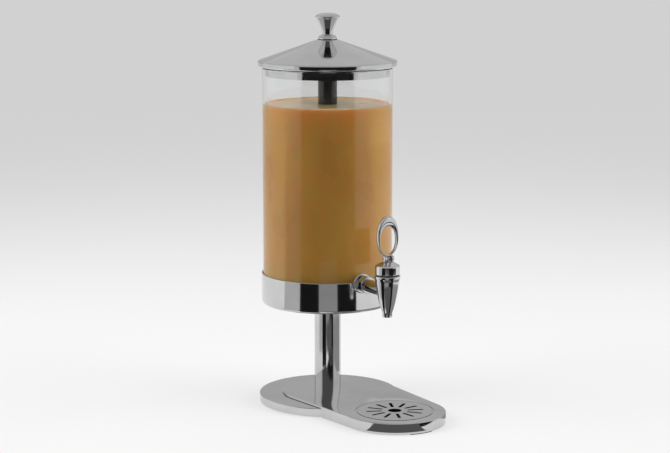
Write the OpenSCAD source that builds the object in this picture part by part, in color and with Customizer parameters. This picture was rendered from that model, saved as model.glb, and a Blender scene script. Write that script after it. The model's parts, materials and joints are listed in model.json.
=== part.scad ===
// Cold drink dispenser: a clear jar in a steel cup on a pillar, with a lever tap,
// a cooling tube hung from the lid and a drip tray that swings round the pillar.
// Millimetres, +Z up, origin on the pillar axis at table level, the tap points along -Y.

/* [Foot disc] */
// Radius of the foot disc
disc_r = 85.2; // [75:0.1:100]
// Distance from the pillar axis to the centre of the disc
disc_offset = 36; // [20:0.5:45]
// Angle of the disc centre round from the direction of the tap
disc_turn = 28; // [0:1:60]
// Height of the disc wall
disc_h = 9.7; // [9:0.1:16]
// Sheet thickness of the disc
disc_sheet = 1.5; // [1:0.1:2]
// Thickness of the rubber pad under the disc
pad_t = 1.5; // [1:0.1:3]
// Distance of the pad edge inside the disc edge
pad_inset = 5; // [3:0.5:10]

/* [Pillar] */
// Outer diameter of the pillar tube
pillar_d = 33; // [30:0.5:40]
// Wall of the pillar tube
pillar_wall = 2; // [1.5:0.1:3]
// Length of the pillar tube
pillar_h = 105.2; // [80:0.2:180]
// Length of each plug inside the tube
plug_h = 20; // [16:0.5:30]
// Radius of the base bolt
bolt_r = 4; // [3:0.1:5]
// Radius of the base bolt head
bolt_head_r = 6.5; // [5.5:0.1:8]
// Height of the base bolt head
bolt_head_h = 3.2; // [2.5:0.1:3.6]
// Length of bolt inside the lower plug
bolt_grip = 14; // [8:0.5:18]
// Radius of the base washer
base_washer_r = 8.5; // [8.2:0.1:12]
// Thickness of the base washer
base_washer_t = 1.6; // [1:0.1:2]

/* [Cup swivel] */
// Thickness of the slip washer between pillar and cup
thrust_t = 0.6; // [0.4:0.1:2]
// Radius of the swivel spigot
spigot_r = 8; // [6:0.5:9]
// Wall of the swivel bush
bush_wall = 3; // [2:0.5:4]
// Wall of the hub round the bush
hub_wall = 7; // [3:0.5:10]
// Height of the hub above the cup floor
hub_h = 7.5; // [5:0.5:15]
// Radius of the retaining washer
retainer_r = 14; // [12:0.5:17]
// Thickness of the retaining washer
retainer_t = 1.5; // [1:0.1:3]
// Radius of the retaining screw
screw_r = 3; // [2:0.1:4]
// Radius of the retaining screw head
screw_head_r = 5.2; // [4.5:0.1:7]
// Height of the retaining screw head
screw_head_h = 4; // [2:0.1:6]
// Length of screw inside the spigot
screw_grip = 15; // [8:0.5:22]

/* [Cup] */
// Height of the cup
cup_h = 38; // [34:0.5:60]
// Wall and floor of the cup
cup_wall = 1.5; // [1:0.1:2.5]
// Outer radius of the rounded lower edge
cup_edge = 4; // [3:0.5:9]
// Width of the spacer ring under the jar
seat_w = 14; // [8:0.5:24]
// Thickness of the soft pad on the spacer ring
seat_pad_t = 2; // [1:0.1:3]
// Space between the spacer ring and the rounded edge of the jar
seat_margin = 2; // [1:0.5:6]

/* [Jar] */
// Outer diameter of the jar
jar_d = 160; // [140:1:200]
// Wall of the jar
jar_wall = 3; // [2:0.1:5]
// Floor of the jar
jar_floor = 5; // [3:0.1:8]
// Height of the jar
jar_h = 275; // [180:1:400]
// Radius of the rounded lower edge of the jar
jar_edge = 6; // [3:0.5:8]

/* [Lid] */
// How far the lid rim stands out past the jar
rim_over = 5.5; // [4:0.1:9]
// Height of the lid rim
rim_h = 9; // [8.4:0.1:14]
// Rounding of the upper edge of the lid rim
rim_round = 1.8; // [0.8:0.1:2.4]
// Radius of the rolled lower edge of the lid rim
rim_curl = 3.4; // [3:0.1:4.1]
// Height of the rolled edge above the jar rim
rim_lift = 1; // [0.5:0.1:2.4]
// Angle that the rolled edge turns in under the rim
rim_turn = 75; // [45:1:80]
// Height of the cone above the rim
cone_h = 24.5; // [12:0.5:50]
// Radius of the flat top of the cone
cone_top_r = 13; // [12:0.5:16]
// Sheet thickness of the lid
lid_sheet = 1.2; // [0.8:0.1:1.8]
// Depth of the inner skirt below the jar rim
plug_depth = 10; // [5:0.5:20]
// Thickness of the lid gasket
gasket_t = 1; // [0.5:0.1:2]
// How far the gasket stays back from each side of the jar wall
gasket_inset = 0.3; // [0.1:0.1:0.8]

/* [Knob] */
// Height of the knob
knob_h = 31.8; // [24:0.2:45]
// Largest radius of the knob
knob_r = 15.2; // [11:0.1:18]
// Radius of the knob neck
knob_neck_r = 6.4; // [5:0.1:9]
// Radius of the knob foot
knob_foot_r = 11.4; // [9:0.1:11.5]
// Thickness of the knob washer
knob_washer_t = 0.7; // [0.5:0.1:2]
// How far the knob washer stands out past the foot
washer_over = 0.4; // [0:0.1:1]
// Radius of the knob stud
stud_r = 3; // [2:0.1:4]
// Length of the stud inside the knob
stud_in_knob = 14; // [8:0.5:18]
// Length of the stud inside the tube holder
stud_in_holder = 12; // [6:0.5:20]

/* [Cooling tube] */
// Outer diameter of the cooling tube
tube_d = 23.5; // [16:0.5:40]
// Wall of the cooling tube
tube_wall = 1; // [0.6:0.1:2]
// Gap between the tube and the jar floor
tube_above_floor = 41; // [30:1:90]
// Radius of the rod that carries the tube
holder_r = 8; // [6:0.5:12]
// Distance of the tube cap below the jar rim
cap_below_rim = 11.5; // [5:0.5:30]
// Thickness of the tube cap
cap_t = 3; // [2:0.1:6]
// How far the cap stands out past the tube
cap_over = 0.6; // [0.2:0.1:2]
// Length of the cap inside the tube
cap_plug_h = 6; // [3:0.5:12]

/* [Tap shank] */
// Distance from the jar wall to the tap axis
tap_reach = 62; // [52:0.5:90]
// Radius of the threaded tail through the jar wall
tail_r = 6; // [5.5:0.1:7]
// Radius of the shank between tail and body
shank_r = 7.8; // [7:0.1:9]
// Radius of the water way in the tail
inlet_r = 4.2; // [3:0.1:4.5]
// Radius of the seals either side of the jar wall
seal_r = 8.2; // [7:0.1:10]
// Thickness of the inner seal
inner_seal_t = 2.4; // [1.5:0.1:4]
// Width across the flats of the lock nut
lock_nut_af = 20; // [16:0.5:24]
// Thickness of the lock nut
lock_nut_t = 6; // [4:0.5:10]
// Length of tail past the lock nut
tail_past_nut = 2.6; // [1:0.2:6]
// Radius of the wall flange
flange_r = 12.2; // [10.5:0.1:16]
// Thickness of the wall flange
flange_t = 3.4; // [2:0.1:5]
// Width across the flats of the collar nut
collar_nut_af = 18; // [15:0.5:22]
// Thickness of the collar nut
collar_nut_t = 12; // [6:0.5:18]
// Radius of the collar washer
collar_washer_r = 10.2; // [9:0.1:13]
// Thickness of the collar washer
collar_washer_t = 1.6; // [1:0.1:3]

/* [Tap body] */
// Radius of the tap body at its top
body_top_r = 15.4; // [13.5:0.1:18]
// Radius of the outlet end
outlet_r = 6; // [5.5:0.1:8]
// Height of the body above the shank axis
body_up = 19.5; // [16:0.5:26]
// Depth of the outlet below the shank axis
body_down = 30.5; // [26:0.5:45]
// Radius of the outlet bore
bore_r = 4.2; // [3:0.1:4.8]
// Radius of the valve chamber
chamber_r = 9; // [8.5:0.1:10]
// Depth of the valve seat below the shank axis
seat_down = 7; // [6:0.5:10]
// Thickness of the bonnet seal
bonnet_seal_t = 1.5; // [1:0.1:3]
// Radius of the bonnet
bonnet_r = 14.7; // [12:0.1:17]
// Height of the straight part of the bonnet
bonnet_h = 11; // [6:0.5:18]
// Height of the coned part of the bonnet
bonnet_cone_h = 4; // [3:0.5:12]
// Radius of the flat top of the bonnet
bonnet_top_r = 7; // [6:0.1:10]
// Length of the threaded bonnet spigot
bonnet_spigot_h = 7.5; // [4:0.5:10]
// Height of the straight spout at the outlet
spout_h = 5; // [3:0.1:7]
// Height of the straight band at the top of the body
body_band = 3; // [2:0.1:6]
// Height above the shank axis where the body widens to its band
band_start = 14.5; // [10:0.1:15.5]
// How far the body draws in below its band
band_step = 0.8; // [0.4:0.1:2]
// How far the lower body swells past the outlet
body_swell = 5.5; // [3:0.1:7]
// Depth below the shank axis where the body swells out
swell_down = 10; // [6:0.5:14]
// Bevel on the edges of body and bonnet
tap_bevel = 0.9; // [0.4:0.1:1.2]

/* [Valve] */
// Radius of the valve stem
stem_r = 2.5; // [2:0.1:3]
// Radius of the valve seal
valve_r = 6.5; // [5.5:0.1:7.5]
// Thickness of the valve seal
valve_t = 4; // [3:0.1:6]
// Thickness of the stem collar under the spring
stem_collar_t = 1.5; // [1:0.1:3]
// Wire diameter of the closing spring
spring_wire = 0.9; // [0.6:0.1:1.2]
// Mean radius of the closing spring
spring_r = 5; // [4.5:0.1:6]
// Number of turns of the closing spring
spring_turns = 5; // [3:1:7]

/* [Lever] */
// Radius of the lever pin
pin_r = 1.1; // [1:0.05:1.6]
// Radius of the cam foot that rocks on the bonnet
cam_r = 3.6; // [3.4:0.1:5]
// Distance of the cam centre in front of the pin
cam_forward = 1.8; // [1.4:0.1:1.9]
// Width of the cam foot
cam_w = 13; // [11:0.2:18]
// Width of the stem eye between the cheeks
eye_w = 6; // [4:0.2:7]
// Radius of the stem eye
eye_r = 2.4; // [2.2:0.1:2.6]
// Height of the ring above the pin
ring_h = 50.6; // [40:0.2:70]
// Width of the ring
ring_w = 28.5; // [26:0.5:44]
// Thickness of the ring at its sides
ring_side = 3.2; // [2.5:0.1:6]
// Thickness of the ring at its top
ring_top = 12.5; // [5:0.5:14]
// Depth of the ring from front to back
ring_depth = 5.4; // [4:0.1:10]
// Thickness of the ring above the stem eye
ring_root = 2; // [1.8:0.1:4]
// How far the ring reaches down beside the stem eye
ring_bite = 1.9; // [1:0.1:2.2]
// Roundness of the ring ends, as a share of the half width
ring_end = 0.76; // [0.6:0.01:0.9]

/* [Drip tray] */
// Outer radius of the drip bowl
bowl_r = 37; // [30:0.5:50]
// Wall and floor of the drip bowl
bowl_wall = 1; // [0.6:0.1:2]
// Depth of the drip bowl
bowl_h = 9; // [5:0.1:9.6]
// Width of the ledge that carries the grid
ledge_w = 7.6; // [4:0.1:12]
// Width of the flat rim round the grid
tray_rim = 14; // [8:0.5:30]
// Thickness of the tray plate
plate_t = 2; // [1.6:0.1:4]
// Thickness of the tray skirt
skirt_t = 1.2; // [0.8:0.1:2]
// Radius of the rear lobe of the tray
lobe_r = 68; // [60:0.5:80]
// Distance of the rear lobe in front of the pillar
lobe_forward = 37; // [20:0.5:42]
// Sideways distance of the rear lobe from the pillar
lobe_side = 7; // [0:0.5:12]
// Thickness of the slip washer under the tray
glide_t = 0.5; // [0.4:0.1:1.5]
// Width of the slip washer under the tray
glide_w = 9; // [5:0.5:12]
// Height of the skirt above the table
skirt_lift = 0.8; // [0.5:0.1:3]
// Width of the rubber tray foot
foot_w = 6; // [4:0.5:9]
// Height of the rubber tray foot
foot_h = 5; // [3.5:0.5:8]
// Angle that the tray foot spans
foot_span = 28; // [16:1:60]

/* [Drip grid] */
// Thickness of the drip grid
grid_t = 1.2; // [0.8:0.1:1.3]
// Number of slots
slot_count = 12; // [6:1:16]
// Width of a slot
slot_w = 3.8; // [2:0.1:4.4]
// Inner end of the slots
slot_in = 17; // [14:0.5:22]
// Distance of the slot ends inside the bowl
slot_margin = 1.5; // [1:0.1:6]
// Radius of the finger hole
finger_r = 8; // [6:0.1:10]
// Turn of the slots from the direction of the tap
slot_turn = 8; // [0:1:30]

/* [Clearances] */
// Radial clearance of a running fit
run_fit = 0.05; // [0.02:0.01:0.1]
// Radial clearance of a threaded or pressed fit
thread_fit = 0.1; // [0.02:0.01:0.2]
// Hole left past the end of each threaded rod
thread_run = 1.5; // [0.5:0.1:3]
// Gap between two pieces that move past each other
move_gap = 0.3; // [0.2:0.05:0.6]
// Gap between jar and cup wall
jar_gap = 0.5; // [0.4:0.1:2]
// Gap between the lid skirt and the jar wall
skirt_gap = 0.7; // [0.4:0.1:2]
// Gap round the drip grid
grid_gap = 1.8; // [0.5:0.1:2]
// Gap between the tray and the edge of the disc
disc_gap = 1.8; // [1:0.1:6]
// Gap between the notch of the cup and the tap seal
notch_gap = 0.8; // [0.4:0.1:2]
// Gap between the retaining screw and the jar
under_jar_gap = 2.3; // [1:0.1:8]
// Gap between the lock nut and the jar floor
nut_floor_gap = 3.4; // [1:0.1:10]

/* [Hidden] */
$fn = 96;
fine = 720;
eps = 0.01;

// Heights from the table upwards
disc_top = pad_t + disc_h;
pillar_top = disc_top + pillar_h;
cup_bottom = pillar_top + thrust_t;
cup_floor = cup_bottom + cup_wall;
cup_top = cup_bottom + cup_h;
hub_top = cup_floor + hub_h;
retainer_z = hub_top + move_gap;
screw_head_z = retainer_z + retainer_t;
jar_bottom = screw_head_z + screw_head_h + under_jar_gap;
jar_floor_top = jar_bottom + jar_floor;
jar_top = jar_bottom + jar_h;
rim_top = jar_top + rim_h;
cone_top = rim_top + cone_h;
knob_z = cone_top + knob_washer_t;

// Radii of the pillar and the jar
pillar_r = pillar_d / 2;
pillar_in = pillar_r - pillar_wall;
jar_r = jar_d / 2;
jar_in = jar_r - jar_wall;
cup_in = jar_r + jar_gap;
cup_r = cup_in + cup_wall;

// Disc and ballast
disc_centre = [-disc_offset * sin(disc_turn), -disc_offset * cos(disc_turn)];
disc_reach = disc_offset + disc_r;
sheet_z = disc_top - disc_sheet;
bolt_seat_z = pad_t + bolt_head_h + move_gap + base_washer_t;

// Swivel
bush_r = spigot_r + run_fit + bush_wall;
hub_r = bush_r + hub_wall;

// Lid
rim_r = jar_r + rim_over;
rim_in = rim_r - lid_sheet;
curl_in = rim_r - rim_curl + (rim_curl - lid_sheet) * cos(rim_turn);
cone_in_z = rim_top - lid_sheet;
plate_z = jar_top + gasket_t;
skirt_r = jar_in - skirt_gap;
apex_in_z = cone_top - lid_sheet;

// Cooling tube
tube_r = tube_d / 2;
tube_in = tube_r - tube_wall;
cap_top = jar_top - cap_below_rim;
tube_top = cap_top - cap_t;
tube_bottom = jar_floor_top + tube_above_floor;

// Tap along its shank, measured from the pillar axis
hex = 6;
lock_nut_r = lock_nut_af / sqrt(3);
tap_z = jar_floor_top + lock_nut_r + nut_floor_gap;
tap_y = -(jar_r + tap_reach);
seal_face = cup_r + move_gap + eps;
flange_face = seal_face + flange_t;
nut_face = flange_face + collar_nut_t;
washer_face = nut_face + collar_washer_t;
inner_seal_face = jar_in - inner_seal_t;
lock_face = inner_seal_face - lock_nut_t;
tail_end = lock_face - tail_past_nut;
notch_r = seal_r + notch_gap;

// Tap along its own axis
body_top = tap_z + body_up;
outlet_z = tap_z - body_down;
seat_z = tap_z - seat_down;
bonnet_z = body_top + bonnet_seal_t;
bonnet_top = bonnet_z + bonnet_h + bonnet_cone_h;
spigot_z = body_top - bonnet_spigot_h;
valve_top = seat_z + valve_t;
collar_top = valve_top + stem_collar_t;
pin_z = bonnet_top + move_gap + cam_r;
slot_reach = cam_r + cam_forward + cam_w;
eye_gap = eye_r + move_gap;

// Drip tray
tray_reach = disc_reach + disc_gap + bowl_r;
tray_under = disc_top + glide_t;
tray_top = tray_under + plate_t;
grid_r = bowl_r + ledge_w;
recess_r = grid_r + grid_gap;
front_r = recess_r + tray_rim;
front_centre = [0, -tray_reach];
lobe_centre = [-lobe_side, -lobe_forward];
skirt_clear_r = disc_reach + disc_gap;
bowl_in = bowl_r - bowl_wall;
grid_z = tray_top - grid_t;

// Points of a curve from p to r that leans towards q
function bow(p, q, r, n = 8) =
    [for (i = [0:n]) let (t = i / n) p * (1 - t) * (1 - t) + q * 2 * t * (1 - t) + r * t * t];
// Points of a circular arc
function arc(c, r, a0, a1, n = 8) =
    [for (i = [0:n]) let (a = a0 + (a1 - a0) * i / n) c + r * [cos(a), sin(a)]];

module ring(r_out, r_in, h) {
    difference() {
        cylinder(r = r_out, h = h);
        translate([0, 0, -eps]) cylinder(r = r_in, h = h + 2 * eps);
    }
}
// A piece turned about the shank axis, from one distance to another in front of the pillar
module along_shank(from) {
    translate([0, -from, tap_z]) rotate([90, 0, 0]) rotate([0, 0, 45]) children();
}
module on_tap() {
    translate([0, tap_y, 0]) children();
}
module across(r, w) {
    rotate([0, 90, 0]) translate([0, 0, -w / 2]) cylinder(r = r, h = w);
}

// Stand
module on_disc() {
    translate([disc_centre[0], disc_centre[1], 0]) children();
}
module base_pad() {
    color("#202022") on_disc() cylinder(r = disc_r - pad_inset, h = pad_t);
}
module ballast() {
    color("#4a4a4c") difference() {
        on_disc() translate([0, 0, pad_t])
            cylinder(r = disc_r - disc_sheet - thread_fit, h = disc_h - disc_sheet);
        cylinder(r = bolt_r + thread_fit, h = disc_top);
        cylinder(r = base_washer_r + move_gap, h = bolt_seat_z);
    }
}
module base_disc() {
    color("#c9cacb") difference() {
        on_disc() translate([0, 0, pad_t]) cylinder(r = disc_r, h = disc_h);
        on_disc() cylinder(r = disc_r - disc_sheet, h = sheet_z);
        cylinder(r = bolt_r + thread_fit, h = disc_top + eps);
    }
}
module base_washer() {
    color("#9a9b9d") translate([0, 0, bolt_seat_z - base_washer_t])
        ring(base_washer_r, bolt_r + thread_fit, base_washer_t);
}
module base_bolt() {
    color("#77787a") {
        translate([0, 0, pad_t + move_gap]) cylinder(r = bolt_head_r, h = bolt_head_h);
        translate([0, 0, pad_t + move_gap])
            cylinder(r = bolt_r, h = disc_top - pad_t - move_gap + bolt_grip);
    }
}
module pillar_foot() {
    color("#9a9b9d") translate([0, 0, disc_top]) difference() {
        cylinder(r = pillar_in - run_fit, h = plug_h);
        translate([0, 0, -eps]) cylinder(r = bolt_r + thread_fit, h = bolt_grip + thread_run);
    }
}
module pillar() {
    color("#c9cacb") translate([0, 0, disc_top]) ring(pillar_r, pillar_in, pillar_h);
}
module pillar_head() {
    color("#9a9b9d") difference() {
        union() {
            translate([0, 0, pillar_top - plug_h]) cylinder(r = pillar_in - run_fit, h = plug_h);
            translate([0, 0, pillar_top - plug_h])
                cylinder(r = spigot_r, h = plug_h + retainer_z - pillar_top);
        }
        translate([0, 0, retainer_z - screw_grip - thread_run])
            cylinder(r = screw_r + thread_fit, h = screw_grip + thread_run + eps);
    }
}
module glide_washer() {
    color("#ececea") translate([0, 0, disc_top])
        ring(pillar_r + thread_fit + glide_w, pillar_r + thread_fit, glide_t);
}
module thrust_washer() {
    color("#ececea") translate([0, 0, pillar_top])
        ring(pillar_r, spigot_r + thread_fit, thrust_t);
}
module retainer_washer() {
    color("#9a9b9d") translate([0, 0, retainer_z])
        ring(retainer_r, screw_r + thread_fit, retainer_t);
}
module retainer_screw() {
    color("#77787a") {
        translate([0, 0, screw_head_z]) cylinder(r = screw_head_r, h = screw_head_h);
        translate([0, 0, retainer_z - screw_grip])
            cylinder(r = screw_r, h = screw_grip + retainer_t + screw_head_h);
    }
}

// Cup
module cup() {
    edge_in = cup_edge - cup_wall;
    color("#c9cacb") difference() {
        rotate_extrude() polygon(concat(
            [[0, cup_bottom]],
            arc([cup_r - cup_edge, cup_bottom + cup_edge], cup_edge, -90, 0),
            [[cup_r, cup_top], [cup_in, cup_top]],
            arc([cup_in - edge_in, cup_floor + edge_in], edge_in, 0, -90),
            [[0, cup_floor]]
        ));
        translate([0, 0, cup_bottom - eps]) cylinder(r = bush_r + run_fit, h = cup_wall + 2 * eps);
        along_shank(cup_in - cup_edge) cylinder(r = notch_r, h = 2 * cup_edge);
        translate([-notch_r, -cup_in - cup_edge, tap_z]) cube([2 * notch_r, 2 * cup_edge, cup_h]);
    }
}
module cup_hub() {
    color("#9a9b9d") translate([0, 0, cup_floor]) ring(hub_r, bush_r + run_fit, hub_h);
}
module swivel_bush() {
    color("#b08d57") translate([0, 0, cup_bottom])
        ring(bush_r, spigot_r + run_fit, cup_wall + hub_h);
}
seat_out = jar_r - jar_edge - seat_margin;
module seat_ring() {
    color("#ececea") translate([0, 0, cup_floor])
        ring(seat_out, seat_out - seat_w, jar_bottom - seat_pad_t - cup_floor);
}
module seat_pad() {
    color("#3a3a3c") translate([0, 0, jar_bottom - seat_pad_t])
        ring(seat_out, seat_out - seat_w, seat_pad_t);
}

// Jar and tap fastening
module jar() {
    color("#dfe9ee", 0.35) difference() {
        rotate_extrude() polygon(concat(
            [[0, jar_bottom]],
            arc([jar_r - jar_edge, jar_bottom + jar_edge], jar_edge, -90, 0),
            [[jar_r, jar_top], [jar_in, jar_top], [jar_in, jar_floor_top], [0, jar_floor_top]]
        ));
        along_shank(tail_end) cylinder(r = tail_r + thread_fit, h = seal_face - tail_end);
    }
}
module outer_seal() {
    color("#2a2a2c") difference() {
        along_shank(jar_in) cylinder(r = seal_r, h = seal_face - jar_in);
        along_shank(jar_in - eps) cylinder(r = tail_r + thread_fit, h = seal_face);
        cylinder(r = jar_r, h = jar_top, $fn = fine);
    }
}
module inner_seal() {
    color("#2a2a2c") intersection() {
        difference() {
            along_shank(inner_seal_face) cylinder(r = seal_r, h = inner_seal_t + jar_wall);
            along_shank(inner_seal_face - eps) cylinder(r = tail_r + thread_fit, h = jar_r);
        }
        cylinder(r = jar_in, h = jar_top, $fn = fine);
    }
}
module hex_nut(af, t) {
    difference() {
        rotate([0, 0, 45]) cylinder(r = af / sqrt(3), h = t, $fn = hex);
        translate([0, 0, -eps]) cylinder(r = tail_r + thread_fit, h = t + 2 * eps);
    }
}
module lock_nut() {
    color("#c9cacb") along_shank(lock_face) hex_nut(lock_nut_af, lock_nut_t);
}
module wall_flange() {
    color("#c9cacb") along_shank(seal_face) ring(flange_r, tail_r + thread_fit, flange_t);
}
module collar_nut() {
    color("#c9cacb") along_shank(flange_face) hex_nut(collar_nut_af, collar_nut_t);
}
module collar_washer() {
    color("#c9cacb") along_shank(nut_face) ring(collar_washer_r, tail_r + thread_fit, collar_washer_t);
}

// Tap
module tap_body() {
    shoulder = body_top_r - tap_bevel;
    spout_top = [outlet_r, outlet_z + spout_h];
    spout_bend = [outlet_r + body_swell, tap_z - swell_down];
    under_band = [body_top_r - band_step, tap_z + band_start];
    color("#c9cacb") difference() {
        union() {
            on_tap() rotate_extrude() polygon(concat(
                [[0, outlet_z], [outlet_r, outlet_z]],
                bow(spout_top, spout_bend, under_band, 5),
                [[body_top_r, body_top - body_band], [body_top_r, body_top - tap_bevel]],
                [[shoulder, body_top], [0, body_top]]
            ));
            along_shank(washer_face) cylinder(r = shank_r, h = -tap_y - washer_face);
            along_shank(tail_end) cylinder(r = tail_r, h = washer_face - tail_end + collar_washer_t);
        }
        on_tap() translate([0, 0, outlet_z - eps]) cylinder(r = bore_r, h = seat_z - outlet_z + 2 * eps);
        on_tap() translate([0, 0, seat_z]) cylinder(r = chamber_r, h = body_top - seat_z + eps);
        along_shank(tail_end - eps) cylinder(r = inlet_r, h = -tap_y - tail_end - chamber_r / 2);
    }
}
module bonnet_seal() {
    color("#202022") on_tap() translate([0, 0, body_top])
        ring(bonnet_r - tap_bevel, chamber_r + thread_fit, bonnet_seal_t);
}
module tap_bonnet() {
    cone_z = bonnet_z + bonnet_h;
    color("#c9cacb") on_tap() difference() {
        union() {
            rotate_extrude() polygon([
                [0, bonnet_z], [bonnet_r - tap_bevel, bonnet_z], [bonnet_r, bonnet_z + tap_bevel],
                [bonnet_r, cone_z - tap_bevel], [bonnet_r - tap_bevel, cone_z],
                [bonnet_top_r, bonnet_top], [0, bonnet_top]
            ]);
            translate([0, 0, spigot_z]) cylinder(r = chamber_r - thread_fit, h = bonnet_z - spigot_z + eps);
        }
        translate([0, 0, spigot_z - eps]) cylinder(r = stem_r + run_fit, h = bonnet_top - spigot_z + 2 * eps);
    }
}
module valve_seal() {
    color("#e6e2da") on_tap() translate([0, 0, seat_z]) difference() {
        cylinder(r = valve_r, h = valve_t);
        translate([0, 0, valve_t / 2]) cylinder(r = stem_r + run_fit, h = valve_t);
    }
}
module valve_stem() {
    color("#9a9b9d") on_tap() difference() {
        union() {
            translate([0, 0, seat_z + valve_t / 2]) cylinder(r = stem_r, h = pin_z - seat_z - valve_t / 2);
            translate([0, 0, valve_top]) cylinder(r = spring_r + spring_wire, h = stem_collar_t);
            translate([0, 0, pin_z]) across(eye_r, eye_w);
        }
        translate([0, 0, pin_z]) across(pin_r + run_fit / 2, cam_w);
    }
}

// Rings of the spring wire, each a small polygon square to the path
wire_sides = 6;
rings_per_turn = 12;
spring_rings = spring_turns * rings_per_turn;
spring_low = collar_top + spring_wire / 2 + eps;
spring_high = spigot_z - spring_wire / 2 - eps;
function wire_point(i, j) =
    let (
        a = 360 * i / rings_per_turn,
        b = 360 * j / wire_sides,
        r = spring_r + spring_wire / 2 * cos(b),
        z = spring_low + (spring_high - spring_low) * i / spring_rings + spring_wire / 2 * sin(b)
    ) [r * cos(a), r * sin(a), z];
module valve_spring() {
    points = [for (i = [0:spring_rings]) for (j = [0:wire_sides - 1]) wire_point(i, j)];
    last = spring_rings * wire_sides;
    faces = concat(
        [for (j = [1:wire_sides - 2]) [0, j, j + 1]],
        [for (j = [1:wire_sides - 2]) [last, last + j + 1, last + j]],
        [for (i = [0:spring_rings - 1]) for (j = [0:wire_sides - 1])
            let (k = (j + 1) % wire_sides, p = i * wire_sides, q = p + wire_sides)
                [p + j, q + j, q + k]],
        [for (i = [0:spring_rings - 1]) for (j = [0:wire_sides - 1])
            let (k = (j + 1) % wire_sides, p = i * wire_sides, q = p + wire_sides)
                [p + j, q + k, p + k]]
    );
    color("#9a9b9d") on_tap() polyhedron(points, faces);
}

// Lever
module lever_pin() {
    color("#9a9b9d") on_tap() translate([0, 0, pin_z]) across(pin_r, cam_w);
}
// Oval of four arcs: half width a, half height b, end radius e
module oval(a, b, e) {
    k = b - e;
    big = (a * a + k * k - e * e) / (2 * (a - e));
    side = k * big / (big - e);
    for (s = [-1, 1]) translate([0, s * k]) circle(r = e);
    intersection() {
        translate([a - big, 0]) circle(r = big, $fn = 192);
        translate([big - a, 0]) circle(r = big, $fn = 192);
        translate([-a, -side]) square([2 * a, 2 * side]);
    }
}
ring_low = eye_gap - ring_bite;
hole_low = eye_gap + ring_root;
module lever_ring() {
    outer_b = (ring_h - ring_low) / 2;
    hole_a = ring_w / 2 - ring_side;
    hole_b = (ring_h - ring_top - hole_low) / 2;
    translate([0, ring_depth / 2, 0]) rotate([90, 0, 0]) linear_extrude(ring_depth) difference() {
        translate([0, ring_low + outer_b]) oval(ring_w / 2, outer_b, ring_end * ring_w / 2);
        translate([0, hole_low + hole_b]) oval(hole_a, hole_b, ring_end * hole_a);
    }
}
module tap_lever() {
    cheek_gap = eye_w + 2 * move_gap;
    color("#c9cacb") on_tap() translate([0, 0, pin_z]) difference() {
        union() {
            translate([0, -cam_forward, 0]) across(cam_r, cam_w);
            lever_ring();
        }
        across(pin_r + run_fit, cam_w + 2 * eps);
        across(eye_gap, cheek_gap);
        translate([-cheek_gap / 2, -slot_reach, -slot_reach])
            cube([cheek_gap, slot_reach + stem_r + move_gap, slot_reach + stem_r + move_gap]);
    }
}

// Lid
module lid_shell() {
    curl_at = [rim_r - rim_curl, jar_top + rim_lift + rim_curl];
    color("#c9cacb") difference() {
        rotate_extrude() polygon(concat(
            arc(curl_at, rim_curl, -rim_turn, 0, 5),
            arc([rim_r - rim_round, rim_top - rim_round], rim_round, 0, 70, 5),
            [[cone_top_r, cone_top], [0, cone_top], [0, apex_in_z], [cone_top_r, apex_in_z],
             [rim_in, cone_in_z - rim_round]],
            arc(curl_at, rim_curl - lid_sheet, 0, -rim_turn, 5)
        ));
        translate([0, 0, apex_in_z - eps]) cylinder(r = stud_r + thread_fit, h = lid_sheet + 2 * eps);
    }
}
module lid_plug() {
    color("#b9babb") {
        translate([0, 0, plate_z]) ring(curl_in - move_gap, skirt_r - lid_sheet, lid_sheet);
        translate([0, 0, jar_top - plug_depth])
            ring(skirt_r, skirt_r - lid_sheet, plate_z + lid_sheet - jar_top + plug_depth);
    }
}
module lid_gasket() {
    color("#202022") translate([0, 0, jar_top])
        ring(jar_r - gasket_inset, jar_in + gasket_inset, gasket_t);
}
module knob_washer() {
    color("#202022") translate([0, 0, cone_top])
        ring(knob_foot_r + washer_over, stud_r + thread_fit, knob_washer_t);
}
module knob() {
    foot_edge = [knob_foot_r, 0.03 * knob_h];
    foot_bend = [0.93 * knob_foot_r, 0.15 * knob_h];
    neck_low = [knob_neck_r, 0.18 * knob_h];
    neck_high = [knob_neck_r, 0.22 * knob_h];
    flare_bend = [1.36 * knob_neck_r, 0.55 * knob_h];
    flare_edge = [0.985 * knob_r, 0.84 * knob_h];
    crown_edge = [knob_r, 0.855 * knob_h];
    crown_bend = [0.88 * knob_r, 0.98 * knob_h];
    color("#c9cacb") translate([0, 0, knob_z]) difference() {
        rotate_extrude() polygon(concat(
            [[0, 0], [knob_foot_r, 0]],
            bow(foot_edge, foot_bend, neck_low),
            bow(neck_high, flare_bend, flare_edge),
            bow(crown_edge, crown_bend, [0, knob_h])
        ));
        translate([0, 0, -eps]) cylinder(r = stud_r + thread_fit, h = stud_in_knob + thread_run);
    }
}
module knob_stud() {
    color("#77787a") translate([0, 0, apex_in_z - stud_in_holder])
        cylinder(r = stud_r, h = stud_in_holder + lid_sheet + knob_washer_t + stud_in_knob);
}
module tube_holder() {
    color("#c9cacb") translate([0, 0, cap_top]) difference() {
        cylinder(r = holder_r, h = apex_in_z - cap_top);
        translate([0, 0, apex_in_z - cap_top - stud_in_holder - thread_run])
            cylinder(r = stud_r + thread_fit, h = stud_in_holder + thread_run + eps);
    }
}
module tube_cap() {
    color("#303236") {
        translate([0, 0, tube_top]) cylinder(r = tube_r + cap_over, h = cap_t);
        translate([0, 0, tube_top - cap_plug_h]) cylinder(r = tube_in - thread_fit, h = cap_plug_h + eps);
    }
}
module cooling_tube() {
    color("#303236") difference() {
        translate([0, 0, tube_bottom]) cylinder(r = tube_r, h = tube_top - tube_bottom);
        translate([0, 0, tube_bottom + tube_wall]) cylinder(r = tube_in, h = tube_top - tube_bottom);
    }
}
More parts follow.
